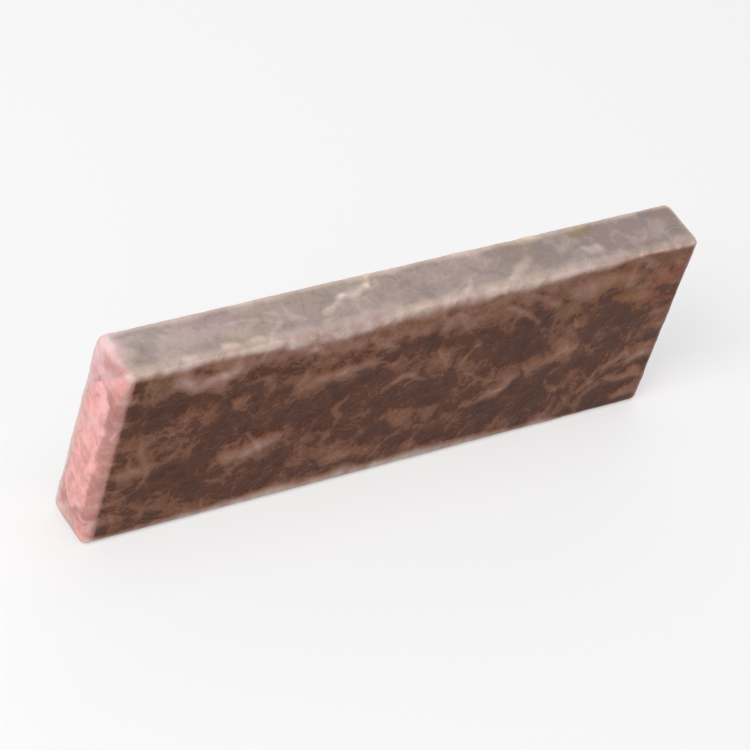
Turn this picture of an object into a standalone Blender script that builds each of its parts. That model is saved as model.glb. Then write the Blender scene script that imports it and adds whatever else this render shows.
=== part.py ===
"""A long gauge block in its oiled anti-rust wrap, standing on its narrow side.

Metres, +Z up. X runs along the block's length and Y across its width. The origin is the middle of the face
that it stands on. The wrap is a thin film drawn tight round the steel, lapped along the back and folded over
each end as a parcel is: the narrow sides are tucked in first, then the back flap, then the front flap.
"""

import math

import bmesh
import bpy

# The steel block
NOMINAL_LENGTH = 0.100
BLOCK_HEIGHT = 0.035
BLOCK_WIDTH = 0.009

# The wrap on the sides
WRAP_THICKNESS = 0.0001
EDGE_RADIUS = 0.0011
EDGE_SEGMENTS = 5
LAP_EDGE_HEIGHT = 0.011
LAP_OVERLAP = 0.013
LAP_EDGE_SLOPE = 0.0002
LAP_HIDDEN_SLOPE = 0.0009

# The wrap folded over the ends. The padding is the crumpled film and the air that the flaps hold under them.
END_PADDING = 0.0006
FLAP_REACH = 0.0075
TUCK_REACH = 0.0064
FOLD_LIFT = 0.00014
TUCK_EDGE_SLOPE = 0.0007
INNER_FLAP_SLOPE = 0.0009
OUTER_FLAP_SLOPE = 0.00018
END_BULGE = 0.0004
BULGE_FLATNESS_ACROSS = 4
BULGE_FLATNESS_UP = 8
BULGE_CUTS_ACROSS = 8
BULGE_CUTS_UP = 16

# Low pockets where the wrap stands off the steel on the front. Each is its distance from the left end of the
# steel, its depth below the top, its half length, its half height, its climb to the right and its lift.
FRONT_POCKETS = (
    (0.014, 0.0055, 0.0070, 0.0022, 0.10, 0.00026),
    (0.036, 0.0018, 0.0090, 0.0024, 0.00, 0.00030),
    (0.038, 0.0105, 0.0085, 0.0021, -0.10, 0.00020),
    (0.053, 0.0050, 0.0065, 0.0024, 0.15, 0.00018),
    (0.087, 0.0060, 0.0080, 0.0032, -0.12, 0.00024),
)
POCKET_CUT_SPACING = 0.0018

# Cuts closer than this share a vertex
CUT_TOLERANCE = 0.000004

LENGTH = NOMINAL_LENGTH + 2 * (WRAP_THICKNESS + END_PADDING)
HEIGHT = BLOCK_HEIGHT + 2 * WRAP_THICKNESS
WIDTH = BLOCK_WIDTH + 2 * WRAP_THICKNESS

OILED_WRAP = {"colour": (0.27, 0.17, 0.135, 1.0), "roughness": 0.38, "metallic": 0.25}


def clear_scene():
    for obj in list(bpy.data.objects):
        bpy.data.objects.remove(obj, do_unlink=True)


def make_collection(name):
    collection = bpy.data.collections.new(name)
    bpy.context.scene.collection.children.link(collection)
    return collection


def make_material(name, finish):
    material = bpy.data.materials.new(name)
    material.use_nodes = True
    shader = material.node_tree.nodes["Principled BSDF"]
    shader.inputs["Base Color"].default_value = finish["colour"]
    shader.inputs["Roughness"].default_value = finish["roughness"]
    shader.inputs["Metallic"].default_value = finish["metallic"]
    material.diffuse_color = finish["colour"]
    return material


def ramp(distance, width):
    """0 outside an edge, 1 from width inside it, and a straight slope between."""
    return min(max(distance / width, 0.0), 1.0)


def rounded_box(mesh):
    """The wrapped block before its folds: a box centred on the origin with softly rounded edges."""
    bmesh.ops.create_cube(mesh, size=1.0)
    bmesh.ops.scale(mesh, vec=(LENGTH, WIDTH, HEIGHT), verts=mesh.verts)
    bmesh.ops.bevel(
        mesh,
        geom=list(mesh.edges),
        offset=EDGE_RADIUS,
        segments=EDGE_SEGMENTS,
        profile=0.5,
        affect="EDGES",
        clamp_overlap=True,
        material=-1,
    )


def score(mesh, in_zone, point, normal):
    """Cuts an edge loop through the faces of one zone, along the plane through point."""
    faces = [face for face in mesh.faces if in_zone(face.calc_center_median())]
    edges = {edge for face in faces for edge in face.edges}
    verts = {vert for face in faces for vert in face.verts}
    bmesh.ops.bisect_plane(
        mesh,
        geom=[*faces, *edges, *verts],
        dist=CUT_TOLERANCE,
        plane_co=point,
        plane_no=normal,
    )


def flap_edges():
    """The folded flaps of an end, from the innermost out: two tucks, the back flap and the front flap.

    Each is a list of the edges that it stops at, as (y, z, inward y, inward z), with the width of the slope
    that it makes there. The front and back flaps narrow at 45 degrees, because their corners are tucked in.
    """
    y, z = WIDTH / 2, HEIGHT / 2
    diagonal = math.sqrt(0.5)
    flaps = [([(0.0, side * (z - TUCK_REACH), 0.0, side)], TUCK_EDGE_SLOPE) for side in (1, -1)]
    for side, slope in ((1, INNER_FLAP_SLOPE), (-1, OUTER_FLAP_SLOPE)):
        free_edge = (side * (y - FLAP_REACH), 0.0, side, 0.0)
        corners = [(side * y, top * z, side * diagonal, -top * diagonal) for top in (1, -1)]
        flaps.append(([free_edge, *corners], slope))
    return flaps


def fold_height(flaps, y, z):
    """How far the folded end stands out at a point: its layers and the air that they hold."""
    layers = 0.0
    for edges, slope in flaps:
        inside = min((y - py) * ny + (z - pz) * nz for py, pz, ny, nz in edges)
        layers += ramp(inside, slope)
    full_across = max(1 - abs(2 * y / WIDTH) ** BULGE_FLATNESS_ACROSS, 0.0)
    full_up = max(1 - abs(2 * z / HEIGHT) ** BULGE_FLATNESS_UP, 0.0)
    return layers * FOLD_LIFT + full_across * full_up * END_BULGE


def score_end(mesh, flaps, side):
    """Cuts the fold lines of one end, and the cuts that let it bulge."""
    rim = LENGTH / 2 - EDGE_RADIUS

    def in_zone(centre):
        return centre.x * side > rim

    for edges, slope in flaps:
        for y, z, ny, nz in edges:
            for inset in (0.0, slope):
                score(mesh, in_zone, (0.0, y + ny * inset, z + nz * inset), (0.0, ny, nz))
    for step in range(1, BULGE_CUTS_ACROSS):
        score(mesh, in_zone, (0.0, WIDTH * (step / BULGE_CUTS_ACROSS - 0.5), 0.0), (0.0, 1.0, 0.0))
    for step in range(1, BULGE_CUTS_UP):
        score(mesh, in_zone, (0.0, 0.0, HEIGHT * (step / BULGE_CUTS_UP - 0.5)), (0.0, 0.0, 1.0))


def fold_ends(mesh):
    """Lays the flaps over both ends. The lift fades out round the rounded edges, where the flaps begin."""
    flaps = flap_edges()
    for side in (-1, 1):
        score_end(mesh, flaps, side)
    for vert in mesh.verts:
        onto_end = ramp(abs(vert.co.x) - (LENGTH / 2 - EDGE_RADIUS), EDGE_RADIUS)
        lift = fold_height(flaps, vert.co.y, vert.co.z) * onto_end
        vert.co.x += math.copysign(lift, vert.co.x)


def lap_back(mesh):
    """Doubles the wrap in a band along the back, from its free edge up to the edge hidden under it."""
    free_edge = LAP_EDGE_HEIGHT - HEIGHT / 2
    hidden_edge = free_edge + LAP_OVERLAP
    rim = WIDTH / 2 - EDGE_RADIUS

    def in_zone(centre):
        return centre.y > rim

    for height in (free_edge, free_edge + LAP_EDGE_SLOPE, hidden_edge - LAP_HIDDEN_SLOPE, hidden_edge):
        score(mesh, in_zone, (0.0, 0.0, height), (0.0, 0.0, 1.0))
    for vert in mesh.verts:
        onto_back = ramp(vert.co.y - rim, EDGE_RADIUS)
        from_edge = ramp(vert.co.z - free_edge, LAP_EDGE_SLOPE)
        from_hidden = ramp(hidden_edge - vert.co.z, LAP_HIDDEN_SLOPE)
        vert.co.y += WRAP_THICKNESS * onto_back * min(from_edge, from_hidden)


def pocket_lift(along, up):
    """How far the pockets lift the wrap at a point of the front, measured from the block's middle."""
    lift = 0.0
    for from_left, depth, half_length, half_height, climb, height in FRONT_POCKETS:
        across = along - (from_left - NOMINAL_LENGTH / 2)
        rise = up - (HEIGHT / 2 - depth) - climb * across
        spread = (across / half_length) ** 2 + (rise / half_height) ** 2
        lift += height * max(1 - spread, 0.0) ** 2
    return lift


def swell_front(mesh):
    """Raises the pockets on the front, on a grid of cuts that holds their shape."""
    rim = WIDTH / 2 - EDGE_RADIUS

    def in_zone(centre):
        return -centre.y > rim

    for size, axis in ((LENGTH, (1.0, 0.0, 0.0)), (HEIGHT, (0.0, 0.0, 1.0))):
        count = max(round(size / POCKET_CUT_SPACING), 2)
        for step in range(1, count):
            place = size * (step / count - 0.5)
            score(mesh, in_zone, [place * part for part in axis], axis)
    for vert in mesh.verts:
        onto_front = ramp(-vert.co.y - rim, EDGE_RADIUS)
        vert.co.y -= pocket_lift(vert.co.x, vert.co.z) * onto_front


def make_gauge_block(collection):
    """The block in its wrap, one closed body, moved so that the origin is the middle of its foot."""
    mesh = bmesh.new()
    rounded_box(mesh)
    lap_back(mesh)
    swell_front(mesh)
    fold_ends(mesh)
    bmesh.ops.remove_doubles(mesh, verts=mesh.verts, dist=CUT_TOLERANCE)
    bmesh.ops.translate(mesh, vec=(0.0, 0.0, HEIGHT / 2), verts=mesh.verts)
    bmesh.ops.recalc_face_normals(mesh, faces=mesh.faces)
    data = bpy.data.meshes.new("gauge_block")
    mesh.to_mesh(data)
    mesh.free()
    data.shade_smooth()
    data.set_sharp_from_angle(angle=math.radians(30))
    block = bpy.data.objects.new("gauge_block", data)
    data.materials.append(make_material("oiled_wrap", OILED_WRAP))
    collection.objects.link(block)
    return block


def main():
    clear_scene()
    make_gauge_block(make_collection("gauge_block"))


main()
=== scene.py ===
"""The looks of a long gauge block in its oiled anti-rust wrap, standing on its narrow side on a plain floor.

Metres, +Z up, in the frame of the solids: X along the block's length, Y across its width from the front to
the lapped back, the origin in the middle of the foot. The wrap is one fine mesh: the rounded box of the
solids, with the same folds, lap and pockets, and with the creases and wrinkles that a thin film has. Where
the film stands off the steel it is raised in the mesh and paler in the material, because both read the same
fields.
"""

import math
import random

import bmesh
import bpy
import numpy as np
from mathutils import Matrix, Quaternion, Vector, noise


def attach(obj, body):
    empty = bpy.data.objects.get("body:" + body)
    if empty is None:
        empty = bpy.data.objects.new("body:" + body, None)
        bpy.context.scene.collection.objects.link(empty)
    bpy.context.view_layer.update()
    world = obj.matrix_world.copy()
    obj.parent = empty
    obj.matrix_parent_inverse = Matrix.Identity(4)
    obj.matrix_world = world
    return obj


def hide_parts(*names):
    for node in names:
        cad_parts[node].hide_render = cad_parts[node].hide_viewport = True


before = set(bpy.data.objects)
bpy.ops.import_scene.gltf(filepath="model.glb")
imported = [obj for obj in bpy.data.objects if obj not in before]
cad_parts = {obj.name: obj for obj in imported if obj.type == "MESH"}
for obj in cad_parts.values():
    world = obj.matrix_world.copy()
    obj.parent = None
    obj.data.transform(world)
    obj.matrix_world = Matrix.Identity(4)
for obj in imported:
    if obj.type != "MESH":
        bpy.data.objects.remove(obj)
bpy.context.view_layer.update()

# The steel block and its wrap, as in the solids
NOMINAL_LENGTH = 0.100
BLOCK_HEIGHT = 0.035
BLOCK_WIDTH = 0.009
WRAP_THICKNESS = 0.0001
EDGE_RADIUS = 0.0011
EDGE_SEGMENTS = 5
END_PADDING = 0.0006
LENGTH = NOMINAL_LENGTH + 2 * (WRAP_THICKNESS + END_PADDING)
HEIGHT = BLOCK_HEIGHT + 2 * WRAP_THICKNESS
WIDTH = BLOCK_WIDTH + 2 * WRAP_THICKNESS

# The lap along the back
LAP_EDGE_HEIGHT = 0.011
LAP_OVERLAP = 0.013
LAP_EDGE_SLOPE = 0.0002
LAP_HIDDEN_SLOPE = 0.0009
# Its free edge wanders up and down, in broad waves and fine ones, and less close to the ends
LAP_WANDER = 0.0005
LAP_WANDER_REACH = 0.0030
LAP_WANDER_FADE = 0.004
LAP_WANDER_SIZES = (0.014, 0.004)
LAP_FINE_WANDER_SHARE = 0.4
# How many layers more show in the lap's pink, and how dark its free edge is, partly oil and partly painted
# shade
LAP_LAYERS_SHOWN = 0.36
LAP_SEAM_SHADE = 0.8

# The film folded over the ends
FLAP_REACH = 0.0075
TUCK_REACH = 0.0064
FOLD_LIFT = 0.00014
TUCK_EDGE_SLOPE = 0.0007
INNER_FLAP_SLOPE = 0.0009
OUTER_FLAP_SLOPE = 0.00018
# The left end swells in its middle, and higher powers bring the swelling closer to the end's edges
END_BULGE = 0.0004
BULGE_FLATNESS_ACROSS = 4
BULGE_FLATNESS_UP = 8
# The right end is stuffed out to its edges instead, which stretches the film from this far in
RIGHT_SHOULDER = 0.0006
RIGHT_SHOULDER_REACH = 0.0040
# How far past its edge each flap shows through the film over it, and how softly it fades there, from the
# innermost flap out
FLAPS_SHOWN = ((0.0, 0.0045), (0.0, 0.0045), (0.0006, 0.0009), (0.0001, 0.0003))
# How far the flaps' pink reaches in from the left end along the broad sides, and how softly it fades there
PINK_REACH_LEFT = 0.0012
PINK_FADE_LEFT = 0.9 * PINK_REACH_LEFT
# Where it begins on the right end, and how much of it is lost on the narrow sides
PINK_FROM_RIGHT = 0.0007
PINK_LOST_ON_NARROW = 0.55
# The folds' edges wander, but less close to the end's outline
FOLD_WANDER = 0.00045
FOLD_WANDER_SIZE = 0.0042
FOLD_WANDER_FADE = 0.0014
# The dark foot of each fold, partly oil gathered along the step and partly painted shade: its width, how long
# it runs before it breaks off, its least and its usual strength, and how much of it is hidden by the flaps
# laid over it and by its own flap
SEAM_WIDTH = 0.00020
SEAM_BREAK = 0.0050
SEAM_LEAST = 0.1
SEAM_USUAL = 0.5
SEAM_HIDDEN = 0.8
SEAM_HIDDEN_BY_OWN_FLAP = 0.5
# The crumples of the loose film on the ends, coarse and fine
CRUMPLE_RISE = 0.00014
CRUMPLE_SIZE = (0.0045, 0.0019)
CRUMPLE_PALENESS = 0.35
FINE_CRUMPLE_SIZE = 0.0024
FINE_CRUMPLE_SHARE = 0.6
# The ends are paler over the tucks, where few layers lie, and along the back
TUCKED_LAYERS = 1.6
TUCKED_LAYERS_FADE = 0.9
TUCKED_FADE = 0.002
TUCKED_PALENESS = 0.42
BEHIND_WIDTH = 0.0008
BEHIND_FADE = 0.0022
BEHIND_PALENESS = 0.60

# How fine the mesh is
MESH_SPACING = 0.00035
CUT_TOLERANCE = 0.000004
# An edge is one of the long ones when it is longer than this share of the side's span
LONG_EDGE_SHARE = 0.9

# Where the film stands off the steel on the front and the top, with a few painted highlights among the top's
# marks. Each mark follows a path of places, given as the distance from the steel's left end and the distance
# below the front's top edge, which is negative on the top. Then come its half width, how far it is raised and
# how pale it turns, or how dark where it is pressed to the steel.
FRONT_MARKS = (
    (((0.009, 0.0036), (0.0125, 0.0056), (0.0155, 0.0053), (0.0185, 0.0038)), 0.0023, 0.00022, 0.21),
    (((0.0094, 0.0040), (0.0108, 0.0048)), 0.0011, 0.00006, 0.11),
    (((0.0135, 0.0050), (0.0175, 0.0039)), 0.0016, 0.00006, 0.15),
    (((0.0145, 0.0020), (0.020, 0.0024)), 0.0014, 0.00008, 0.12),
    (((0.0115, 0.0068), (0.0165, 0.0073)), 0.0018, 0.00000, 0.13),
    (((0.021, 0.0026), (0.030, 0.0033)), 0.0018, 0.00006, 0.12),
    (((0.0275, 0.0018), (0.031, 0.0027), (0.034, 0.0027), (0.0368, 0.0021)), 0.0018, 0.00024, 0.17),
    (((0.0392, 0.0020), (0.0415, 0.0026), (0.0455, 0.0017)), 0.0018, 0.00012, 0.13),
    (((0.031, 0.0030), (0.034, 0.0052)), 0.0009, 0.00010, 0.20),
    (
        ((0.0225, 0.0071), (0.028, 0.0090), (0.033, 0.0104), (0.038, 0.0104), (0.043, 0.0094)),
        0.0023,
        0.00018,
        0.15,
    ),
    (((0.034, 0.0103), (0.0425, 0.0096)), 0.0011, 0.00008, 0.13),
    (((0.0245, 0.0102), (0.0275, 0.0106)), 0.0020, 0.00000, 0.12),
    (((0.0440, 0.0052), (0.051, 0.0046)), 0.0028, 0.00018, 0.15),
    (((0.0375, 0.0050), (0.0425, 0.0044)), 0.0016, 0.00000, 0.09),
    (((0.0485, 0.0000), (0.0585, 0.0000)), 0.0012, 0.00004, 0.13),
    (((0.0500, 0.0026), (0.0660, 0.0031)), 0.0018, 0.00000, 0.07),
    (((0.0655, 0.0078), (0.0705, 0.0056)), 0.0016, 0.00000, 0.07),
    (((0.0525, 0.0034), (0.0580, 0.0046)), 0.0013, 0.00010, 0.08),
    (((0.0665, 0.0048), (0.070, 0.0068), (0.0735, 0.0098)), 0.0009, 0.00010, 0.17),
    (((0.0700, 0.0030), (0.0735, 0.0050), (0.0765, 0.0070)), 0.0010, 0.00008, 0.14),
    (((0.0715, 0.0014), (0.0745, 0.0032)), 0.0019, 0.00004, 0.12),
    (((0.0800, 0.0056), (0.0845, 0.0044), (0.090, 0.0050)), 0.0026, 0.00022, 0.15),
    (((0.0880, 0.0085), (0.0945, 0.0100)), 0.0016, 0.00008, 0.14),
    (((0.0925, 0.0024), (0.0960, 0.0050), (0.0985, 0.0080)), 0.0014, 0.00012, 0.12),
    (((0.0022, 0.0035), (0.0024, 0.0085)), 0.0016, 0.00000, -0.13),
    (((0.0045, 0.0015), (0.0075, 0.0017)), 0.0014, 0.00000, -0.17),
    (((0.0118, 0.0030), (0.0140, 0.0034)), 0.0013, 0.00000, -0.10),
    (((0.0085, 0.0062), (0.0105, 0.0070)), 0.0015, 0.00000, -0.09),
    (((0.0195, -0.0002), (0.0225, -0.0002)), 0.0012, 0.00000, -0.09),
    (((0.0400, -0.0001), (0.0430, -0.0001)), 0.0012, 0.00000, -0.12),
    (((0.0210, 0.0056), (0.0245, 0.0062)), 0.0015, 0.00000, -0.08),
    (((0.0400, 0.0074), (0.0465, 0.0096)), 0.0018, 0.00000, -0.08),
    (((0.0815, 0.0001), (0.0985, 0.0001)), 0.0013, 0.00000, -0.12),
    (((0.0345, 0.0062), (0.0385, 0.0062)), 0.0018, 0.00000, -0.07),
    (((0.0425, 0.0034), (0.0445, 0.0042)), 0.0011, 0.00000, -0.06),
    (((0.0485, 0.0074), (0.0535, 0.0078)), 0.0026, 0.00000, -0.20),
    (((0.0925, 0.0082), (0.0945, 0.0086)), 0.0017, 0.00000, 0.10),
    (((0.0970, 0.0060), (0.0975, 0.0070)), 0.0020, 0.00000, -0.08),
    (((0.0600, 0.0072), (0.0660, 0.0080)), 0.0032, 0.00000, 0.07),
    (((0.0700, 0.0076), (0.0750, 0.0066)), 0.0030, 0.00000, 0.08),
)
TOP_MARKS = (
    (((0.0340, -0.0026), (0.0359, -0.0041), (0.0384, -0.0053)), 0.0008, 0.00009, 0.26),
    (((0.0380, -0.0052), (0.0405, -0.0055), (0.0430, -0.0064)), 0.0009, 0.00014, 0.32),
    (((0.0430, -0.0064), (0.0448, -0.0084)), 0.0008, 0.00010, 0.30),
    (((0.0665, -0.0009), (0.0685, -0.0026), (0.0710, -0.0042)), 0.0013, 0.00010, 0.26),
    (((0.0580, -0.0009), (0.0596, -0.0024)), 0.0007, 0.00007, 0.24),
    (((0.0600, -0.0087), (0.0622, -0.0083)), 0.0011, 0.00009, 0.20),
    (((0.0722, -0.0084), (0.0752, -0.0082)), 0.0011, 0.00008, 0.16),
    (((0.0775, -0.0042), (0.0806, -0.0058)), 0.0016, 0.00007, 0.13),
    (((0.0818, -0.0033), (0.0838, -0.0031)), 0.0012, 0.00010, 0.34),
    # Painted highlights: these three are small pale glints along the top's front rim
    (((0.0160, -0.0010), (0.0178, -0.0010)), 0.0009, 0.00006, 0.34),
    (((0.0208, -0.0011), (0.0222, -0.0011)), 0.0008, 0.00006, 0.25),
    (((0.0085, -0.0010), (0.0105, -0.0008)), 0.0009, 0.00005, 0.20),
    (((0.0290, -0.0038), (0.0304, -0.0030)), 0.0008, 0.00005, 0.16),
    (((0.0250, -0.0060), (0.0262, -0.0054)), 0.0008, 0.00005, 0.13),
    (((0.0000, -0.0066), (0.0012, -0.0044)), 0.0020, 0.00004, 0.24),
    (((0.0060, -0.0045), (0.0190, -0.0050)), 0.0050, 0.00000, 0.06),
    (((0.0755, -0.0045), (0.0930, -0.0050)), 0.0048, 0.00000, -0.14),
    (((0.0690, -0.0046), (0.0708, -0.0040)), 0.0016, 0.00000, -0.11),
    (((0.0982, -0.0032), (0.0990, -0.0056)), 0.0022, 0.00000, -0.20),
    (((0.0955, -0.0078), (0.0985, -0.0076)), 0.0017, 0.00000, -0.26),
    (((0.0010, -0.0080), (0.0030, -0.0080)), 0.0013, 0.00000, -0.12),
    (((0.0800, -0.0081), (0.0865, -0.0081)), 0.0013, 0.00000, -0.08),
    (((0.0890, -0.0014), (0.0985, -0.0012)), 0.0020, 0.00000, -0.14),
    (((0.0815, -0.0070), (0.0845, -0.0072)), 0.0016, 0.00000, -0.14),
    (((0.0230, -0.0030), (0.0270, -0.0028)), 0.0026, 0.00000, -0.08),
    (((0.0320, -0.0020), (0.0360, -0.0024)), 0.0020, 0.00000, -0.08),
)

# The front and top marks lie where the film faces no further down and no further back than this
FACING_DOWN_LIMIT = -0.1
FACING_BACK_LIMIT = 0.6
# The marks' edges are ragged by this much down, and by this share of it along
RAGGED_SHIFT = 0.0006
RAGGED_SIZE = 0.0022
RAGGED_ALONG_SHARE = 0.6

# The ridges and hollows of the left end's flaps. The places are the distance behind the front and the depth
# below the top. Then come the half width, how far the film is raised, how pale it turns, which on the raised
# ridges is partly a painted highlight, how deep its painted shade is in the hollows and how many layers more
# show in its pink.
LEFT_END_MARKS = (
    (((0.0011, 0.0000), (0.0031, 0.0011), (0.0050, 0.0022)), 0.0012, -0.00010, 0.00, 1.00, 0.0),
    (((0.0013, 0.0019), (0.0036, 0.0041), (0.0049, 0.0057)), 0.0010, 0.00022, 0.20, 0.00, 0.0),
    (((0.0023, 0.0053), (0.0041, 0.0069), (0.0053, 0.0099)), 0.0008, -0.00008, 0.00, 0.15, 0.0),
    (((0.0042, 0.0058), (0.0029, 0.0066), (0.0026, 0.0082)), 0.0015, 0.00000, 0.04, 0.00, 0.9),
    (((0.0060, 0.0042), (0.0066, 0.0064)), 0.0015, 0.00004, 0.30, 0.00, 0.0),
    (((0.0023, 0.0069), (0.0032, 0.0089), (0.0041, 0.0124)), 0.0010, 0.00020, 0.16, 0.00, 0.0),
    (((0.0041, 0.0134), (0.0053, 0.0189)), 0.0010, 0.00018, 0.14, 0.00, 0.0),
    (((0.0027, 0.0164), (0.0035, 0.0224)), 0.0009, -0.00008, 0.00, 0.35, 0.0),
    (((0.0023, 0.0204), (0.0043, 0.0264)), 0.0010, 0.00020, 0.18, 0.00, 0.0),
)

# Marks of no one place, drawn by chance on the sides that the photograph hides or leaves plain. Each kind has
# the limits of its length, its steepest slant in degrees, and the limits of its half width, rise and
# paleness.
CHANCE_SEED = 11
POCKET = ((0.003, 0.010), 35, (0.0013, 0.0027), (0.00008, 0.0002), (0.08, 0.2))
CREASE = ((0.002, 0.006), 65, (0.0006, 0.0009), (0.00006, 0.0001), (0.1, 0.2))
LEAST_SLANT = 5
MOST_BEND = 0.15
CLEAR_OF_ENDS = 0.004
# How many pockets and creases a side has, and the depths between which they lie
LOWER_FRONT_CHANCES = (9, 9, (0.014, HEIGHT - 0.003))
BACK_CHANCES = (20, 16, (0.002, HEIGHT - 0.003))
BOTTOM_CHANCES = (8, 0, (0.001, WIDTH - 0.001))

# Where the oil lies thicker or thinner and turns the film's hue. Each patch is its middle and half size,
# along and down as the marks are, and what it does to red, green and blue.
HUE_PATCHES = (
    ((0.0165, -0.0062), (0.0070, 0.0034), (1.04, 0.97, 1.07)),
    ((0.0900, -0.0050), (0.0090, 0.0048), (1.00, 0.96, 1.02)),
    ((0.0050, -0.0055), (0.0034, 0.0038), (0.98, 1.03, 1.01)),
    ((0.0825, -0.0074), (0.0034, 0.0020), (0.97, 0.95, 0.72)),
    ((0.0740, -0.0076), (0.0022, 0.0012), (0.96, 1.03, 0.88)),
    ((0.0010, -0.0055), (0.0026, 0.0040), (1.03, 0.97, 1.08)),
    ((0.0050, 0.0042), (0.0040, 0.0040), (0.93, 1.04, 1.03)),
    ((0.0870, 0.0050), (0.0070, 0.0036), (1.05, 1.01, 0.83)),
    ((0.0880, 0.0105), (0.0090, 0.0048), (1.02, 0.96, 0.58)),
    ((0.0700, 0.0110), (0.0080, 0.0040), (1.02, 0.98, 0.84)),
    ((0.0980, -0.0072), (0.0036, 0.0030), (1.03, 1.00, 0.93)),
    ((0.0780, 0.0078), (0.0030, 0.0024), (0.95, 1.04, 0.92)),
    ((0.0980, 0.0085), (0.0050, 0.0064), (1.10, 0.82, 0.72)),
    ((0.0150, 0.0052), (0.0070, 0.0030), (1.04, 0.99, 1.02)),
    ((0.0395, -0.0055), (0.0060, 0.0030), (0.97, 1.01, 1.03)),
    ((-0.0010, -0.0010), (0.0018, 0.0050), (1.00, 0.99, 1.07)),
)

# The film's own waves and wrinkles
WAVE_SIZE = 0.011
WAVE_RISE = 0.00006
WAVE_PALENESS = 0.12
CRINKLE_SIZE = 0.0034
CRINKLE_RISE = 0.00005
CRINKLE_PALENESS = 0.05
# Thin wrinkles that are bent by finer waves, and broken off where broad ones run low
VEIN_SIZE = 0.0062
VEIN_WIDTH = 0.12
VEIN_RISE = 0.00009
VEIN_PALENESS = 0.13
VEIN_BEND = 0.0012
VEIN_BEND_SIZE = 0.005
VEIN_BREAK_SIZE = 0.007
VEIN_BREAK_FADE = 0.35
# A painted shade: the broad sides are darker from this far below their top edge
LOWER_SHADE_DEPTH = 0.0050
LOWER_SHADE_FADE = 0.0040
LOWER_SHADE_DARKENING = 0.08
# The pleats that run in from the folded ends
PLEAT_REACH = 0.013
PLEAT_RISE = 0.00016
PLEAT_SIZE = (0.011, 0.0019)
PLEAT_PALENESS = 0.35

# Pale rims along the block's long edges: their width, how uneven it is, the share of it that is fully pale
# and the share over which they fade
RIM_WIDTH = 0.0017
RIM_WIDTH_BEHIND = 0.0016
RIM_UNEVENNESS = 0.45
RIM_UNEVENNESS_SIZE = 0.005
RIM_FULL_SHARE = 0.30
RIM_FADE_SHARE = 0.9
# How pale they are, and how streaks and patches change that between two limits
RIM_ON_BROAD = 0.64
RIM_ON_NARROW = 0.24
RIM_ON_NARROW_BEHIND = 0.46
RIM_STRENGTH = 0.94
RIM_STRENGTH_LIMITS = (0.8, 1.2)
RIM_STREAK_SIZE = (0.0014, 0.0050)
RIM_STREAK_SHARE = 0.25
RIM_PATCH_SIZE = 0.009
RIM_PATCH_SHARE = 0.30
# Where round an edge a side begins to count as a narrow one, and how softly
NARROW_FROM = 0.25
NARROW_FADE = 0.6
# Pale rims where the sides meet the ends, which fade more slowly at the left end, and more so on its narrow
# sides
END_RIM_WIDTH = 0.0004
END_RIM_FADE_LEFT = 0.0012
END_RIM_FADE_LEFT_ON_NARROW = 0.0012
END_RIM_FADE_RIGHT = 0.0008
END_RIM_PALENESS = 0.16
END_RIM_MORE_ON_NARROW = 0.06
# How wide the front's rim is, as a share of its usual width, at distances from the steel's left end
FRONT_RIM_PLACES = (0.000, 0.016, 0.026, 0.046, 0.060, 0.074, 0.084, 0.092)
FRONT_RIM_SHARES = (1.00, 1.00, 1.50, 1.60, 1.50, 1.25, 0.90, 0.50)

# The photograph's own station, from which a longer lens is turned to the block
CAMERA_PLACE = (-0.2777, -0.2868, 0.3723)
CAMERA_AIM = (-0.0011, 0.0, 0.0167)
CAMERA_ROLL = 18.7
CAMERA_LENS = 169.9
SENSOR_WIDTH = 36.0


def ramp(distance, width):
    """0 outside an edge, 1 from width inside it, and a straight slope between."""
    return np.clip(distance / width, 0.0, 1.0)


def soft_ramp(distance, width):
    """The same with a slope that starts and ends softly."""
    share = ramp(distance, width)
    return share * share * (3 - 2 * share)


def rounded_box(mesh):
    """The wrapped block before its folds: a box centred on the origin with softly rounded edges."""
    bmesh.ops.create_cube(mesh, size=1.0)
    bmesh.ops.scale(mesh, vec=(LENGTH, WIDTH, HEIGHT), verts=mesh.verts)
    bmesh.ops.bevel(
        mesh,
        geom=list(mesh.edges),
        offset=EDGE_RADIUS,
        segments=EDGE_SEGMENTS,
        profile=0.5,
        affect="EDGES",
        clamp_overlap=True,
        material=-1,
    )


def weave_grid(mesh):
    """Cuts the long flat faces into cells fine enough for the film's wrinkles."""
    for axis, size in ((0, LENGTH), (2, HEIGHT), (1, WIDTH)):
        span = size - 2 * EDGE_RADIUS
        runs = []
        for edge in mesh.edges:
            start, end = (vert.co[axis] for vert in edge.verts)
            if abs(start - end) > LONG_EDGE_SHARE * span:
                runs.append(edge)
        bmesh.ops.subdivide_edges(mesh, edges=runs, cuts=round(span / MESH_SPACING) - 1, use_grid_fill=True)


def score(mesh, in_zone, point, normal):
    """Cuts an edge loop through the faces of one zone, along the plane through point."""
    faces = [face for face in mesh.faces if in_zone(face.calc_center_median())]
    edges = {edge for face in faces for edge in face.edges}
    verts = {vert for face in faces for vert in face.verts}
    bmesh.ops.bisect_plane(
        mesh,
        geom=[*faces, *edges, *verts],
        dist=CUT_TOLERANCE,
        plane_co=point,
        plane_no=normal,
    )


def flap_edges():
    """The folded flaps of an end, from the innermost out: two tucks, the back flap and the front flap.

    Each is a list of the edges that it stops at, as (y, z, inward y, inward z), with the width of the slope
    that it makes there. The front and back flaps narrow at 45 degrees, because their corners are tucked in.
    """
    y, z = WIDTH / 2, HEIGHT / 2
    diagonal = math.sqrt(0.5)
    flaps = [([(0.0, side * (z - TUCK_REACH), 0.0, side)], TUCK_EDGE_SLOPE) for side in (1, -1)]
    for side, slope in ((1, INNER_FLAP_SLOPE), (-1, OUTER_FLAP_SLOPE)):
        free_edge = (side * (y - FLAP_REACH), 0.0, side, 0.0)
        corners = [(side * y, top * z, side * diagonal, -top * diagonal) for top in (1, -1)]
        flaps.append(([free_edge, *corners], slope))
    return flaps


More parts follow.
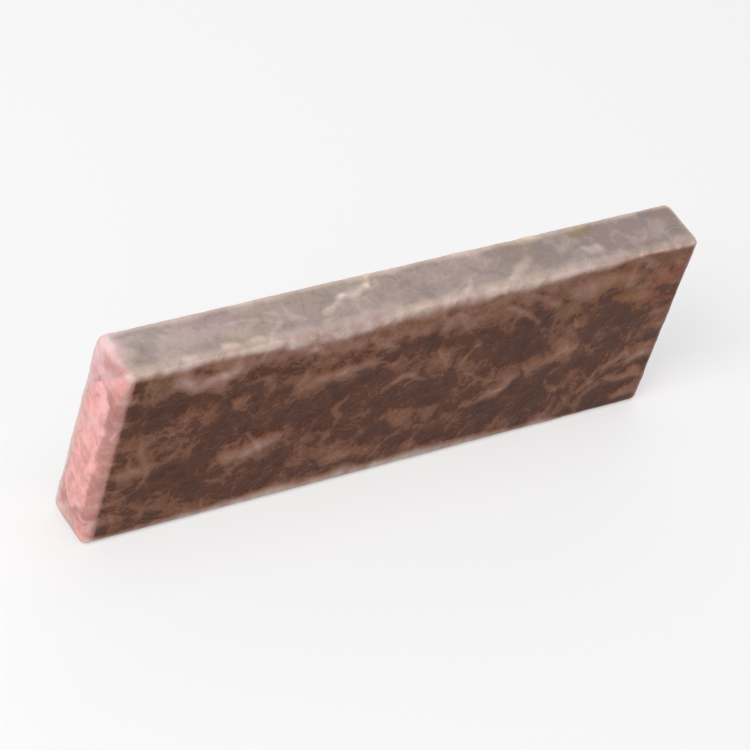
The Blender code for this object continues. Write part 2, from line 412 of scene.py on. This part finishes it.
def score_end(mesh, flaps, side):
    """Cuts the fold lines of one end, so that each flap stops at a clean edge."""
    rim = LENGTH / 2 - EDGE_RADIUS

    def in_zone(centre):
        return centre.x * side > rim

    for edges, slope in flaps:
        for y, z, ny, nz in edges:
            for inset in (0.0, slope):
                score(mesh, in_zone, (0.0, y + ny * inset, z + nz * inset), (0.0, ny, nz))


def score_lap(mesh):
    """Cuts the two edges of the lap along the back."""
    rim = WIDTH / 2 - EDGE_RADIUS
    free_edge = LAP_EDGE_HEIGHT - HEIGHT / 2

    def in_zone(centre):
        return centre.y > rim

    for height in (free_edge, free_edge + LAP_EDGE_SLOPE):
        score(mesh, in_zone, (0.0, 0.0, height), (0.0, 0.0, 1.0))


def outward(points):
    """The way that the rounded box faces at each point."""
    inner_half = np.array([LENGTH, WIDTH, HEIGHT]) / 2 - EDGE_RADIUS
    away = points - np.clip(points, -inner_half, inner_half)
    return away / np.linalg.norm(away, axis=1, keepdims=True)


def waves(points, sizes, origin):
    """Smooth random waves, one value for each point, from about -1 to 1.

    sizes is the wave's length, or one length for each axis. Each use has its own origin in the noise, so that
    no two of them run alike.
    """
    return np.array([noise.noise(Vector(point)) for point in points / np.array(sizes) + origin])


def near_path(along, down, path, half_width):
    """1 on a path, falling smoothly to 0 half_width away from it."""
    nearest = np.full(along.shape, np.inf)
    for (start_along, start_down), (end_along, end_down) in zip(path, path[1:]):
        run, fall = end_along - start_along, end_down - start_down
        share = np.clip(((along - start_along) * run + (down - start_down) * fall) / (run**2 + fall**2), 0, 1)
        away = np.hypot(along - start_along - share * run, down - start_down - share * fall)
        nearest = np.minimum(nearest, away)
    return np.maximum(1 - (nearest / half_width) ** 2, 0) ** 2


def slanting_path(chance, depths, length, steepest):
    """A slightly bent path at a place drawn by chance between two depths."""
    along = chance.uniform(CLEAR_OF_ENDS, NOMINAL_LENGTH - CLEAR_OF_ENDS)
    down = chance.uniform(*depths)
    slant = math.radians(chance.choice((-1, 1)) * chance.uniform(LEAST_SLANT, steepest))
    bend = chance.uniform(-MOST_BEND, MOST_BEND) * length
    run, fall = length * math.cos(slant), length * math.sin(slant)
    middle = (along + run / 2 - bend * math.sin(slant), down + fall / 2 + bend * math.cos(slant))
    return ((along, down), middle, (along + run, down + fall))


def chance_marks(chance, pocket_count, crease_count, depths):
    """Broad soft pockets and fine slanting creases, drawn by chance between two depths."""
    marks = []
    for lengths, steepest, *others in [POCKET] * pocket_count + [CREASE] * crease_count:
        path = slanting_path(chance, depths, chance.uniform(*lengths), steepest)
        marks.append((path, *(chance.uniform(*limits) for limits in others)))
    return marks


class Film:
    """What the film does at each vertex: its rise, the layers laid on it, and how far it is off the steel."""

    def __init__(self, points):
        self.points = points
        self.facing = outward(points)
        self.along = points[:, 0] + NOMINAL_LENGTH / 2
        self.from_end = LENGTH / 2 - np.abs(points[:, 0])
        self.front, self.back = (np.maximum(sign * self.facing[:, 1], 0) ** 2 for sign in (-1, 1))
        self.bottom, self.top = (np.maximum(sign * self.facing[:, 2], 0) ** 2 for sign in (-1, 1))
        self.sides = 1 - self.facing[:, 0] ** 2
        self.onto_end = soft_ramp(EDGE_RADIUS - self.from_end, EDGE_RADIUS)
        self.narrow = self.top + self.bottom
        self.at_left = points[:, 0] < 0
        broad = 1 - self.narrow
        pink_from = np.where(self.at_left, EDGE_RADIUS + PINK_REACH_LEFT * broad, PINK_FROM_RIGHT)
        pink_fade = np.where(self.at_left, EDGE_RADIUS + PINK_FADE_LEFT * broad, PINK_FROM_RIGHT)
        pink = soft_ramp(pink_from - self.from_end, pink_fade)
        self.folded = pink * (1 - PINK_LOST_ON_NARROW * self.narrow)
        self.below_front_edge = (HEIGHT / 2 - points[:, 2]) - (points[:, 1] + WIDTH / 2)
        self.below_back_edge = (HEIGHT / 2 - points[:, 2]) - (WIDTH / 2 - points[:, 1])
        not_down, not_back = self.facing[:, 2] > FACING_DOWN_LIMIT, self.facing[:, 1] < FACING_BACK_LIMIT
        self.upper = np.where(not_down & not_back, 1.0, 0.0)
        self.ragged = RAGGED_SHIFT * waves(points, RAGGED_SIZE, origin=0.9)
        self.raised = np.zeros(len(points))
        self.shift = np.zeros((len(points), 3))
        self.layers = np.zeros(len(points))
        self.stack = np.zeros(len(points))
        self.off = np.zeros(len(points))
        self.seam = np.zeros(len(points))
        self.hue = np.ones((len(points), 3))

    def fold_ends(self):
        """The parcel folds of both ends. Each flap adds its layer, over loose film that fills the end out."""
        y, z = self.points[:, 1], self.points[:, 2]
        for (edges, slope), (shown_past, fade) in zip(flap_edges(), FLAPS_SHOWN):
            inside = np.min([(y - py) * ny + (z - pz) * nz for py, pz, ny, nz in edges], axis=0)
            cover = soft_ramp(inside, slope) * self.onto_end
            # The dark foot of each fold is partly oil gathered at the step and partly painted shade
            foot = math.sqrt(OUTER_FLAP_SLOPE / slope) * np.exp(-((inside / SEAM_WIDTH) ** 2)) * self.onto_end
            self.layers += cover
            self.stack += soft_ramp(inside + shown_past, fade) * self.folded
            foot *= 1 - SEAM_HIDDEN_BY_OWN_FLAP * cover
            self.seam = np.maximum(self.seam * (1 - SEAM_HIDDEN * cover), foot)
        self.seam *= np.clip(SEAM_USUAL + waves(self.points, SEAM_BREAK, origin=51.0), SEAM_LEAST, 1)
        full_across = np.maximum(1 - np.abs(2 * y / WIDTH) ** BULGE_FLATNESS_ACROSS, 0)
        pillow = full_across * np.maximum(1 - np.abs(2 * z / HEIGHT) ** BULGE_FLATNESS_UP, 0)
        crumple = waves(self.points, (1.0, *CRUMPLE_SIZE), origin=2.4)
        crumple += FINE_CRUMPLE_SHARE * waves(self.points, FINE_CRUMPLE_SIZE, origin=6.1)
        bulge = np.where(self.at_left, END_BULGE, 0.0)
        rise = self.layers * FOLD_LIFT + pillow * bulge + CRUMPLE_RISE * crumple * pillow
        self.shift[:, 0] += np.copysign(rise * self.onto_end, self.points[:, 0])
        stuffed = soft_ramp(RIGHT_SHOULDER_REACH - self.from_end, RIGHT_SHOULDER_REACH - EDGE_RADIUS)
        self.shift[:, 0] += np.where(self.at_left, 0.0, RIGHT_SHOULDER * stuffed)
        from_outline = np.minimum(WIDTH / 2 - np.abs(y), HEIGHT / 2 - np.abs(z))
        loose = FOLD_WANDER * self.onto_end * soft_ramp(from_outline, FOLD_WANDER_FADE)
        for axis, origin in ((1, 3.1), (2, 7.7)):
            self.shift[:, axis] += loose * waves(self.points, FOLD_WANDER_SIZE, origin)
        tucked = soft_ramp(TUCKED_LAYERS - self.layers, TUCKED_LAYERS_FADE)
        tucked *= soft_ramp(np.abs(z) - (HEIGHT / 2 - TUCK_REACH), TUCKED_FADE)
        behind = 1 - soft_ramp(WIDTH / 2 - y - BEHIND_WIDTH, BEHIND_FADE)
        pale = TUCKED_PALENESS * tucked + BEHIND_PALENESS * behind
        pale += CRUMPLE_PALENESS * np.maximum(crumple, 0) * pillow
        self.off += self.onto_end * pale

    def ridge_left_end(self):
        """The ridges and hollows that the photograph shows on the left end."""
        behind_front, depth = self.points[:, 1] + WIDTH / 2, HEIGHT / 2 - self.points[:, 2]
        on_left = self.onto_end * self.at_left
        for path, half_width, rise, paleness, shade, layers in LEFT_END_MARKS:
            near = near_path(behind_front, depth, path, half_width) * on_left
            # Along the raised ridges the paleness is partly a painted highlight, and along the hollows the
            # shade is a painted shade, carried with the dark seams
            self.shift[:, 0] -= rise * near
            self.off += paleness * near
            self.seam = np.maximum(self.seam, shade * near)
            self.stack += layers * near

    def lap_back(self):
        """The band along the back where the film lies double, under a free edge that wanders a little."""
        free_edge = LAP_EDGE_HEIGHT - HEIGHT / 2
        hidden_edge = free_edge + LAP_OVERLAP
        z = self.points[:, 2]
        onto_back = ramp(self.points[:, 1] - (WIDTH / 2 - EDGE_RADIUS), EDGE_RADIUS)
        double = np.minimum(ramp(z - free_edge, LAP_EDGE_SLOPE), ramp(hidden_edge - z, LAP_HIDDEN_SLOPE))
        double *= onto_back
        self.stack += LAP_LAYERS_SHOWN * double
        self.raised += WRAP_THICKNESS * double
        # A dark line along the lap's free edge, partly oil and partly painted shade
        self.seam += LAP_SEAM_SHADE * np.exp(-(((z - free_edge) / SEAM_WIDTH) ** 2)) * onto_back * self.sides
        near_edge = np.maximum(1 - ((z - free_edge) / LAP_WANDER_REACH) ** 2, 0) ** 2
        broad_size, fine_size = LAP_WANDER_SIZES
        wander = waves(self.points, (broad_size, 1.0, 1.0), origin=4.2)
        wander += LAP_FINE_WANDER_SHARE * waves(self.points, (fine_size, 1.0, 1.0), origin=8.8)
        self.shift[:, 2] += LAP_WANDER * near_edge * wander * onto_back * ramp(self.from_end, LAP_WANDER_FADE)

    def add_marks(self, marks, down, where):
        """Raises and pales the film along each mark, on the sides where it lies."""
        along = self.along + RAGGED_ALONG_SHARE * self.ragged
        for path, half_width, rise, paleness in marks:
            near = near_path(along, down + self.ragged, path, half_width) * where
            self.raised += rise * near
            self.off += paleness * near

    def mark_sides(self):
        """The photograph's marks on the front and the top, and marks drawn by chance on the hidden sides."""
        self.add_marks((*FRONT_MARKS, *TOP_MARKS), self.below_front_edge, self.upper)
        chance = random.Random(CHANCE_SEED)
        self.add_marks(chance_marks(chance, *LOWER_FRONT_CHANCES), self.below_front_edge, self.front)
        self.add_marks(chance_marks(chance, *BACK_CHANCES), self.below_back_edge, self.back)
        self.add_marks(chance_marks(chance, *BOTTOM_CHANCES), self.points[:, 1] + WIDTH / 2, self.bottom)

    def wave(self):
        """The film's slack: long low waves, and thin wrinkles that wander and break off."""
        long_waves = waves(self.points, (WAVE_SIZE, WAVE_SIZE / 2, WAVE_SIZE / 2), origin=1.7)
        crinkles = 1 - 2 * np.abs(waves(self.points, CRINKLE_SIZE, origin=61.0))
        self.raised += (WAVE_RISE * long_waves + CRINKLE_RISE * crinkles) * self.sides
        self.off += (WAVE_PALENESS * long_waves + CRINKLE_PALENESS * crinkles) * self.sides
        # A painted shade: the front and the back are darker below their top edge
        shaded_below = soft_ramp(HEIGHT / 2 - self.points[:, 2] - LOWER_SHADE_DEPTH, LOWER_SHADE_FADE)
        self.off -= LOWER_SHADE_DARKENING * shaded_below * (self.front + self.back)
        bends = [waves(self.points, VEIN_BEND_SIZE, origin) for origin in (12.3, 17.9, 23.1)]
        bent = self.points + VEIN_BEND * np.stack(bends, axis=1)
        vein = np.maximum(1 - np.abs(waves(bent, VEIN_SIZE, origin=31.0)) / VEIN_WIDTH, 0) ** 2
        broken = soft_ramp(waves(self.points, VEIN_BREAK_SIZE, origin=41.0), VEIN_BREAK_FADE)
        self.raised += VEIN_RISE * vein * broken * self.sides
        self.off += VEIN_PALENESS * vein * broken * self.sides

    def pleat_ends(self):
        """Short pleats run in along the sides from the folded ends, where the film is drawn together."""
        length, width = PLEAT_SIZE
        pleats = np.maximum(waves(self.points, (length, width, width), origin=5.3), 0)
        near_end = (1 - soft_ramp(self.from_end, PLEAT_REACH)) ** 2 * self.sides
        self.raised += PLEAT_RISE * pleats * near_end
        self.off += PLEAT_PALENESS * pleats * near_end

    def pale_rims(self):
        """Along its edges the film spans the corner without touching it, and dries pale in short streaks."""
        y, z = self.points[:, 1], self.points[:, 2]
        from_long_edge = np.maximum(WIDTH / 2 - np.abs(y), HEIGHT / 2 - np.abs(z))
        width = np.where(y > 0, RIM_WIDTH_BEHIND, RIM_WIDTH)
        width *= 1 + RIM_UNEVENNESS * waves(self.points, RIM_UNEVENNESS_SIZE, origin=9.2)
        width *= 1 + (np.interp(self.along, FRONT_RIM_PLACES, FRONT_RIM_SHARES) - 1) * self.front
        streak_width, streak_length = RIM_STREAK_SIZE
        streaks = waves(self.points, (streak_width, streak_length, streak_length), origin=14.6)
        patches = waves(self.points, RIM_PATCH_SIZE, origin=19.4)
        strength = RIM_STRENGTH + RIM_STREAK_SHARE * streaks + RIM_PATCH_SHARE * patches
        strength = np.clip(strength, *RIM_STRENGTH_LIMITS)
        long_rim = 1 - soft_ramp(from_long_edge - RIM_FULL_SHARE * width, RIM_FADE_SHARE * width)
        narrow_share = soft_ramp(self.narrow - NARROW_FROM, NARROW_FADE)
        on_narrow = np.where(y > 0, RIM_ON_NARROW_BEHIND, RIM_ON_NARROW)
        on_side = RIM_ON_BROAD + (on_narrow - RIM_ON_BROAD) * narrow_share
        self.off += on_side * strength * long_rim * self.sides
        left_fade = END_RIM_FADE_LEFT + END_RIM_FADE_LEFT_ON_NARROW * narrow_share
        end_fade = np.where(self.at_left, left_fade, END_RIM_FADE_RIGHT)
        end_rim = 1 - soft_ramp(self.from_end - END_RIM_WIDTH, end_fade)
        self.off += (END_RIM_PALENESS + END_RIM_MORE_ON_NARROW * narrow_share) * end_rim * self.sides

    def turn_hue(self):
        """The patches of another hue on the front and the top."""
        for (along, down), (half_along, half_down), change in HUE_PATCHES:
            away_along = (self.along - along) / half_along
            away_down = (self.below_front_edge - down) / half_down
            share = (soft_ramp(1 - (away_along**2 + away_down**2), 1.0) * self.upper)[:, None]
            self.hue *= 1 + share * (np.array(change) - 1)

    def moved(self):
        """Where each vertex ends up. The foot stays flat, because the block's weight presses it."""
        pressed = 1 - self.bottom
        return self.points + self.facing * (self.raised * pressed)[:, None] + self.shift


def make_film():
    """The whole wrap as one closed mesh, with the fields that its material reads."""
    mesh = bmesh.new()
    rounded_box(mesh)
    weave_grid(mesh)
    flaps = flap_edges()
    for side in (-1, 1):
        score_end(mesh, flaps, side)
    score_lap(mesh)
    film = Film(np.array([vert.co for vert in mesh.verts]))
    film.fold_ends()
    film.ridge_left_end()
    film.lap_back()
    film.mark_sides()
    film.wave()
    film.pleat_ends()
    film.pale_rims()
    film.turn_hue()
    lift = np.array([0.0, 0.0, HEIGHT / 2])
    for vert, place in zip(mesh.verts, film.moved() + lift):
        vert.co = place
    bmesh.ops.recalc_face_normals(mesh, faces=mesh.faces)
    data = bpy.data.meshes.new("oiled_film")
    mesh.to_mesh(data)
    mesh.free()
    data.shade_smooth()
    fields = (
        ("film_stack", film.stack),
        ("film_off", film.off),
        ("film_seam", film.seam),
        ("narrow_side", film.narrow),
    )
    for name, values in fields:
        data.attributes.new(name, "FLOAT", "POINT").data.foreach_set("value", values.astype(np.float32))
    hue = np.hstack([film.hue, np.ones((len(film.hue), 1))]).astype(np.float32)
    data.attributes.new("film_hue", "FLOAT_COLOR", "POINT").data.foreach_set("color", hue.ravel())
    wrap = bpy.data.objects.new("oiled_wrap", data)
    bpy.context.scene.collection.objects.link(wrap)
    return wrap


def colour(red, green, blue):
    """A colour given as it looks on a screen, from 0 to 255, in the linear numbers that shaders take."""
    shares = (red / 255, green / 255, blue / 255)
    return (*(s / 12.92 if s <= 0.04045 else ((s + 0.055) / 1.055) ** 2.4 for s in shares), 1.0)


class Value:
    """A socket in a material that takes part in sums as a number does. Each sum adds a Math node."""

    def __init__(self, finish, socket):
        self.finish = finish
        self.socket = socket

    def maths(self, operation, first, second):
        return self.finish.node("Math", {"operation": operation}, {0: first, 1: second})

    def __add__(self, other):
        return self.maths("ADD", self, other)

    __radd__ = __add__

    def __sub__(self, other):
        return self.maths("SUBTRACT", self, other)

    def __rsub__(self, other):
        return self.maths("SUBTRACT", other, self)

    def __mul__(self, other):
        return self.maths("MULTIPLY", self, other)

    __rmul__ = __mul__

    def __abs__(self):
        return self.finish.node("Math", {"operation": "ABSOLUTE"}, {0: self})


class Finish:
    """A material or world that is being made, node by node."""

    def __init__(self, owner):
        owner.use_nodes = True
        self.tree = owner.node_tree
        self.tree.nodes.clear()

    def node(self, kind, settings, sockets, output=0):
        """Adds a node, sets it up, gives its sockets their values or links, and hands back one output."""
        added = self.tree.nodes.new("ShaderNode" + kind)
        for name, setting in settings.items():
            if name == "stops":
                lay_stops(added.color_ramp, setting)
            else:
                setattr(added, name, setting)
        for name, value in sockets.items():
            if isinstance(value, Value):
                self.tree.links.new(value.socket, added.inputs[name])
            else:
                added.inputs[name].default_value = value
        return Value(self, added.outputs[output]) if added.outputs else None

    def noise(self, place, size, detail=2.0, roughness=0.5, distortion=0.0):
        """Even noise from 0 to 1, whose waves are about size long."""
        sockets = {"Vector": place, "Scale": 1 / size, "Detail": detail, "Roughness": roughness}
        return self.node("TexNoise", {}, {**sockets, "Distortion": distortion}, "Fac")

    def away_from_threads(self, place, size, detail, distortion, edges):
        """0 on thin winding threads, where noise passes its middle, and 1 away from them."""
        from_middle = abs(self.noise(place, size, detail=detail, distortion=distortion) - NOISE_MIDDLE)
        return self.step(from_middle, *edges)

    def step(self, value, low, high):
        """0 below low, 1 above high, and a smooth slope between."""
        settings = {"interpolation_type": "SMOOTHSTEP"}
        return self.node("MapRange", settings, {"Value": value, "From Min": low, "From Max": high}, "Result")

    def blend(self, share, first, second, way="MIX"):
        """The first colour where share is 0 and the second where it is 1."""
        settings = {"data_type": "RGBA", "blend_type": way}
        # A Mix node takes its share at socket 0 and two colours at 6 and 7, and its output 2 is their blend
        return self.node("Mix", settings, {0: share, 6: first, 7: second}, 2)

    def shades(self, value, stops):
        return self.node("ValToRGB", {"stops": stops}, {"Fac": value}, "Color")


def lay_stops(ramp_of_colours, stops):
    """Gives a colour ramp its stops, as (place, colour)."""
    elements = ramp_of_colours.elements
    while len(elements) < len(stops):
        elements.new(1.0)
    for element, (place, shade) in zip(elements, stops):
        element.position = place
        element.color = shade


# The film's colours: by its paleness on the broad and the narrow sides, and by its layers on the folded ends.
# The narrow sides' grey is a painted sheen, the steel reflecting bright light from above through the film,
# and the broad sides' brown is partly a painted reflection of dark surroundings
BROAD_FILM_AND_REFLECTION = (
    (0.00, colour(75, 34, 12)),
    (0.18, colour(100, 54, 30)),
    (0.34, colour(132, 87, 62)),
    (0.50, colour(147, 105, 87)),
    (0.72, colour(175, 144, 132)),
    (1.00, colour(210, 189, 179)),
)
# A painted sheen: the narrow sides' grey stands for bright light reflected from above
NARROW_FILM_AND_SHEEN = (
    (0.00, colour(134, 119, 112)),
    (0.24, colour(151, 134, 127)),
    (0.42, colour(164, 147, 139)),
    (0.62, colour(183, 164, 154)),
    (0.82, colour(203, 181, 170)),
    (1.00, colour(220, 199, 188)),
)
FOLDED_END = (
    (0.00, colour(164, 112, 104)),
    (0.30, colour(188, 134, 127)),
    (0.60, colour(243, 175, 173)),
    (0.90, colour(248, 188, 186)),
)
PALE_FOLD = colour(228, 196, 191)
# The dark seams: partly oil gathered in the folds' steps, and partly painted shade there and in the end's
# hollows
DARK_SEAM_AND_SHADE = colour(176, 112, 106)
WARM_DRIFT = (1.00, 0.98, 0.94, 1.0)
COOL_DRIFT = (0.98, 0.97, 1.00, 1.0)
WHITE = (1.0, 1.0, 1.0, 1.0)

# How the oil comes and goes under the film: the size of its blotches, specks and threads, and how much each
# changes the paleness. Pairs of edges are where a change begins and where it is complete.
NOISE_MIDDLE = 0.5
USUAL_PALENESS = 0.24
BLOTCH_SIZE = 0.0036
BLOTCH_SHARE = 0.55
SPECK_SIZE = 0.0008
SPECK_SHARE = 0.20
THREAD_SIZE = 0.0042
THREAD_EDGES = (0.004, 0.022)
THREAD_SHARE = 0.05
# The film pales by a step at the edge of a wet patch, and by a smaller one where it comes off the steel
WET_STEP = 0.10
WET_EDGES = (0.21, 0.24)
LIFTED_STEP = 0.06
LIFTED_EDGES = (0.33, 0.36)
TONE_LOSS = 0.09
TONE_GAIN_ON_NARROW = 0.015
NARROW_EDGES = (0.15, 0.80)
# The folded ends: how much their colour changes with a layer, with oil soaked in between and with specks,
# where they dry pale, and where and how unevenly they begin
LAYER_SHARE = 0.27
SOAKED_SIZE = 0.0022
SOAKED_SHARE = 0.85
SOAKED_SPECK_SHARE = 0.16
DRY_FOLD_EDGES = (0.25, 0.95)
FOLDED_EDGES = (0.16, 0.72)
FOLDED_BLOTCH_SHARE = 0.7
FOLDED_SPECK_SHARE = 0.3
SEAM_AND_SHADE_SHARE = 0.52
# A slow drift of the film's hue
DRIFT_SIZE = 0.012
DRIFT_EDGES = (0.35, 0.65)
# The finest relief, as heights in millimetres. Wrinkles are higher where the film is slack, and creases run
# there.
MILLIMETRE = 0.001
WRINKLE_SIZE = 0.0024
WRINKLE_HEIGHT = 0.05
SLACK_SIZE = 0.0090
SLACK_EDGES = (0.42, 0.60)
SLACK_WRINKLE_HEIGHT = 0.07
CREASE_SIZE = 0.0042
CREASE_EDGES = (0.0, 0.07)
CREASE_HEIGHT = 0.05
SPECK_HEIGHT = 0.008
THREAD_HEIGHT = 0.012
# How the gloss goes as the film dries
DRY_EDGES = (0.1, 0.8)
WET_ROUGHNESS = 0.32
DRY_ROUGHNESS_GAIN = 0.16
WET_COAT = 0.08


def oiled_film():
    """Thin pink film over dark steel: dark where oil holds it to the steel, pale where it stands off, and
    salmon pink where it lies in several layers."""
    material = bpy.data.materials.new("oiled_film")
    finish = Finish(material)
    place = finish.node("TexCoord", {}, {}, "Object")
    off, stack, seam, narrow = (
        finish.node("Attribute", {"attribute_name": name}, {}, "Fac")
        for name in ("film_off", "film_stack", "film_seam", "narrow_side")
    )
    hue = finish.node("Attribute", {"attribute_name": "film_hue"}, {}, "Color")

    # How far the oil lets the film off the steel
    blotches = finish.noise(place, BLOTCH_SIZE, detail=5.0, roughness=0.62, distortion=0.6)
    specks = finish.noise(place, SPECK_SIZE, detail=3.0, roughness=0.6)
    threads = 1.0 - finish.away_from_threads(place, THREAD_SIZE, 2.0, 1.2, THREAD_EDGES)
    blotched = blotches - NOISE_MIDDLE
    specked = specks - NOISE_MIDDLE
    patchy = off + BLOTCH_SHARE * blotched + SPECK_SHARE * specked + THREAD_SHARE * threads + USUAL_PALENESS

    # The sides, with a painted sheen on the narrow ones and a painted dark reflection in the broad ones'
    # brown, the folded ends, and the seams with their painted shade
    wetted = WET_STEP * finish.step(patchy, *WET_EDGES) + LIFTED_STEP * finish.step(patchy, *LIFTED_EDGES)
    tone = patchy + wetted - TONE_LOSS
    # Painted sheen on the narrow sides, and painted dark reflection in the broad sides' brown
    broad_film_and_reflection = finish.shades(tone, BROAD_FILM_AND_REFLECTION)
    narrow_film_and_sheen = finish.shades(tone + TONE_GAIN_ON_NARROW, NARROW_FILM_AND_SHEEN)
    side_colour = finish.blend(finish.step(narrow, *NARROW_EDGES), broad_film_and_reflection, narrow_film_and_sheen)
    soaked = finish.noise(place, SOAKED_SIZE, detail=4.0, roughness=0.6, distortion=0.8) - NOISE_MIDDLE
    depth = LAYER_SHARE * stack + SOAKED_SHARE * soaked + SOAKED_SPECK_SHARE * specked
    folded_colour = finish.shades(depth, FOLDED_END)
    end_colour = finish.blend(finish.step(patchy, *DRY_FOLD_EDGES), folded_colour, PALE_FOLD)
    layered = stack + FOLDED_BLOTCH_SHARE * blotched + FOLDED_SPECK_SHARE * specked
    film_colour = finish.blend(finish.step(layered, *FOLDED_EDGES), side_colour, end_colour)
    # Painted shade along the seams and the end's hollows, over a dark line of oil at the folds
    seamed_and_shaded = finish.blend(SEAM_AND_SHADE_SHARE * seam, film_colour, DARK_SEAM_AND_SHADE)
    hued = finish.blend(1.0, seamed_and_shaded, hue, "MULTIPLY")
    drift = finish.step(finish.noise(place, DRIFT_SIZE), *DRIFT_EDGES)
    base = finish.blend(1.0, hued, finish.blend(drift, WARM_DRIFT, COOL_DRIFT), "MULTIPLY")

    # The finest relief
    wrinkles = finish.noise(place, WRINKLE_SIZE, detail=1.5, distortion=0.8)
    creases = finish.away_from_threads(place, CREASE_SIZE, 1.0, 1.0, CREASE_EDGES)
    slack = finish.step(finish.noise(place, SLACK_SIZE), *SLACK_EDGES)
    height = (WRINKLE_HEIGHT + SLACK_WRINKLE_HEIGHT * slack) * wrinkles
    height = height + SPECK_HEIGHT * specks + THREAD_HEIGHT * threads - CREASE_HEIGHT * slack * creases
    bumps = finish.node("Bump", {}, {"Strength": 1.0, "Distance": MILLIMETRE, "Height": height}, "Normal")

    dry = finish.step(patchy, *DRY_EDGES)
    surface = finish.node(
        "BsdfPrincipled",
        {},
        {
            "Base Color": base,
            "Roughness": WET_ROUGHNESS + DRY_ROUGHNESS_GAIN * dry,
            "Coat Weight": WET_COAT * (1.0 - dry),
            "Coat Roughness": 0.14,
            "IOR": 1.42,
            "Specular IOR Level": 0.18,
            "Normal": bumps,
        },
        "BSDF",
    )
    finish.node("OutputMaterial", {}, {"Surface": surface})
    return material


# The room
FLOOR_SIZE = 4.0
FLOOR_WHITE = (0.84, 0.84, 0.84, 1.0)
FLOOR_GLOW = 0.45
AMBIENT_STRENGTH = 0.32
# Each lamp's name, place, size and power in watts, all aimed at the block
LAMPS = (
    ("key", (-0.52, -0.16, 0.60), 0.40, 4.2),
    ("overhead", (0.10, 0.00, 0.80), 0.60, 1.9),
    ("fill", (0.45, 0.60, 0.40), 0.60, 1.0),
)
BLOCK_MIDDLE = (0.0, 0.0, HEIGHT / 2)


def seen_directly(finish):
    """1 for rays that show the background, as seen, mirrored or looked at through glass."""
    seen = finish.node("LightPath", {}, {}, "Is Camera Ray")
    for way in ("Is Glossy Ray", "Is Transmission Ray"):
        seen = seen.maths("MAXIMUM", seen, finish.node("LightPath", {}, {}, way))
    return seen


def make_floor():
    mesh = bmesh.new()
    bmesh.ops.create_grid(mesh, x_segments=1, y_segments=1, size=FLOOR_SIZE / 2)
    data = bpy.data.meshes.new("floor")
    mesh.to_mesh(data)
    mesh.free()
    floor = bpy.data.objects.new("floor", data)
    bpy.context.scene.collection.objects.link(floor)
    material = bpy.data.materials.new("plain_floor")
    finish = Finish(material)
    plain = finish.node("BsdfDiffuse", {}, {"Color": FLOOR_WHITE})
    white = finish.node("Emission", {}, {"Color": WHITE, "Strength": 1.0})
    shown = finish.node("MixShader", {}, {0: FLOOR_GLOW * seen_directly(finish), 1: plain, 2: white})
    finish.node("OutputMaterial", {}, {"Surface": shown})
    data.materials.append(material)


def make_world():
    world = bpy.data.worlds.new("soft_room")
    bpy.context.scene.world = world
    finish = Finish(world)
    soft = finish.node("Background", {}, {"Color": WHITE, "Strength": AMBIENT_STRENGTH})
    white = finish.node("Background", {}, {"Color": WHITE, "Strength": 1.0})
    shown = finish.node("MixShader", {}, {0: seen_directly(finish), 1: soft, 2: white})
    finish.node("OutputWorld", {}, {"Surface": shown})


def make_lamps():
    for name, place, size, power in LAMPS:
        light = bpy.data.lights.new(name, "AREA")
        light.shape = "SQUARE"
        light.size = size
        light.energy = power
        lamp = bpy.data.objects.new(name, light)
        lamp.location = place
        aim = Vector(BLOCK_MIDDLE) - Vector(place)
        lamp.rotation_euler = aim.to_track_quat("-Z", "Y").to_euler()
        bpy.context.scene.collection.objects.link(lamp)


def make_camera():
    """Turned to the block from the photograph's station, and rolled until it lies as in the photograph."""
    data = bpy.data.cameras.new("camera")
    data.sensor_width = SENSOR_WIDTH
    data.lens = CAMERA_LENS
    camera = bpy.data.objects.new("camera", data)
    camera.location = CAMERA_PLACE
    upright = (Vector(CAMERA_AIM) - Vector(CAMERA_PLACE)).to_track_quat("-Z", "Y")
    rolled = upright @ Quaternion((0.0, 0.0, 1.0), math.radians(CAMERA_ROLL))
    camera.rotation_euler = rolled.to_euler()
    bpy.context.scene.collection.objects.link(camera)
    bpy.context.scene.camera = camera


def main():
    wrap = make_film()
    wrap.data.materials.append(oiled_film())
    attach(wrap, "root")
    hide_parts("gauge_block")
    make_floor()
    make_world()
    make_lamps()
    make_camera()
    bpy.context.scene.view_settings.view_transform = "Standard"


main()
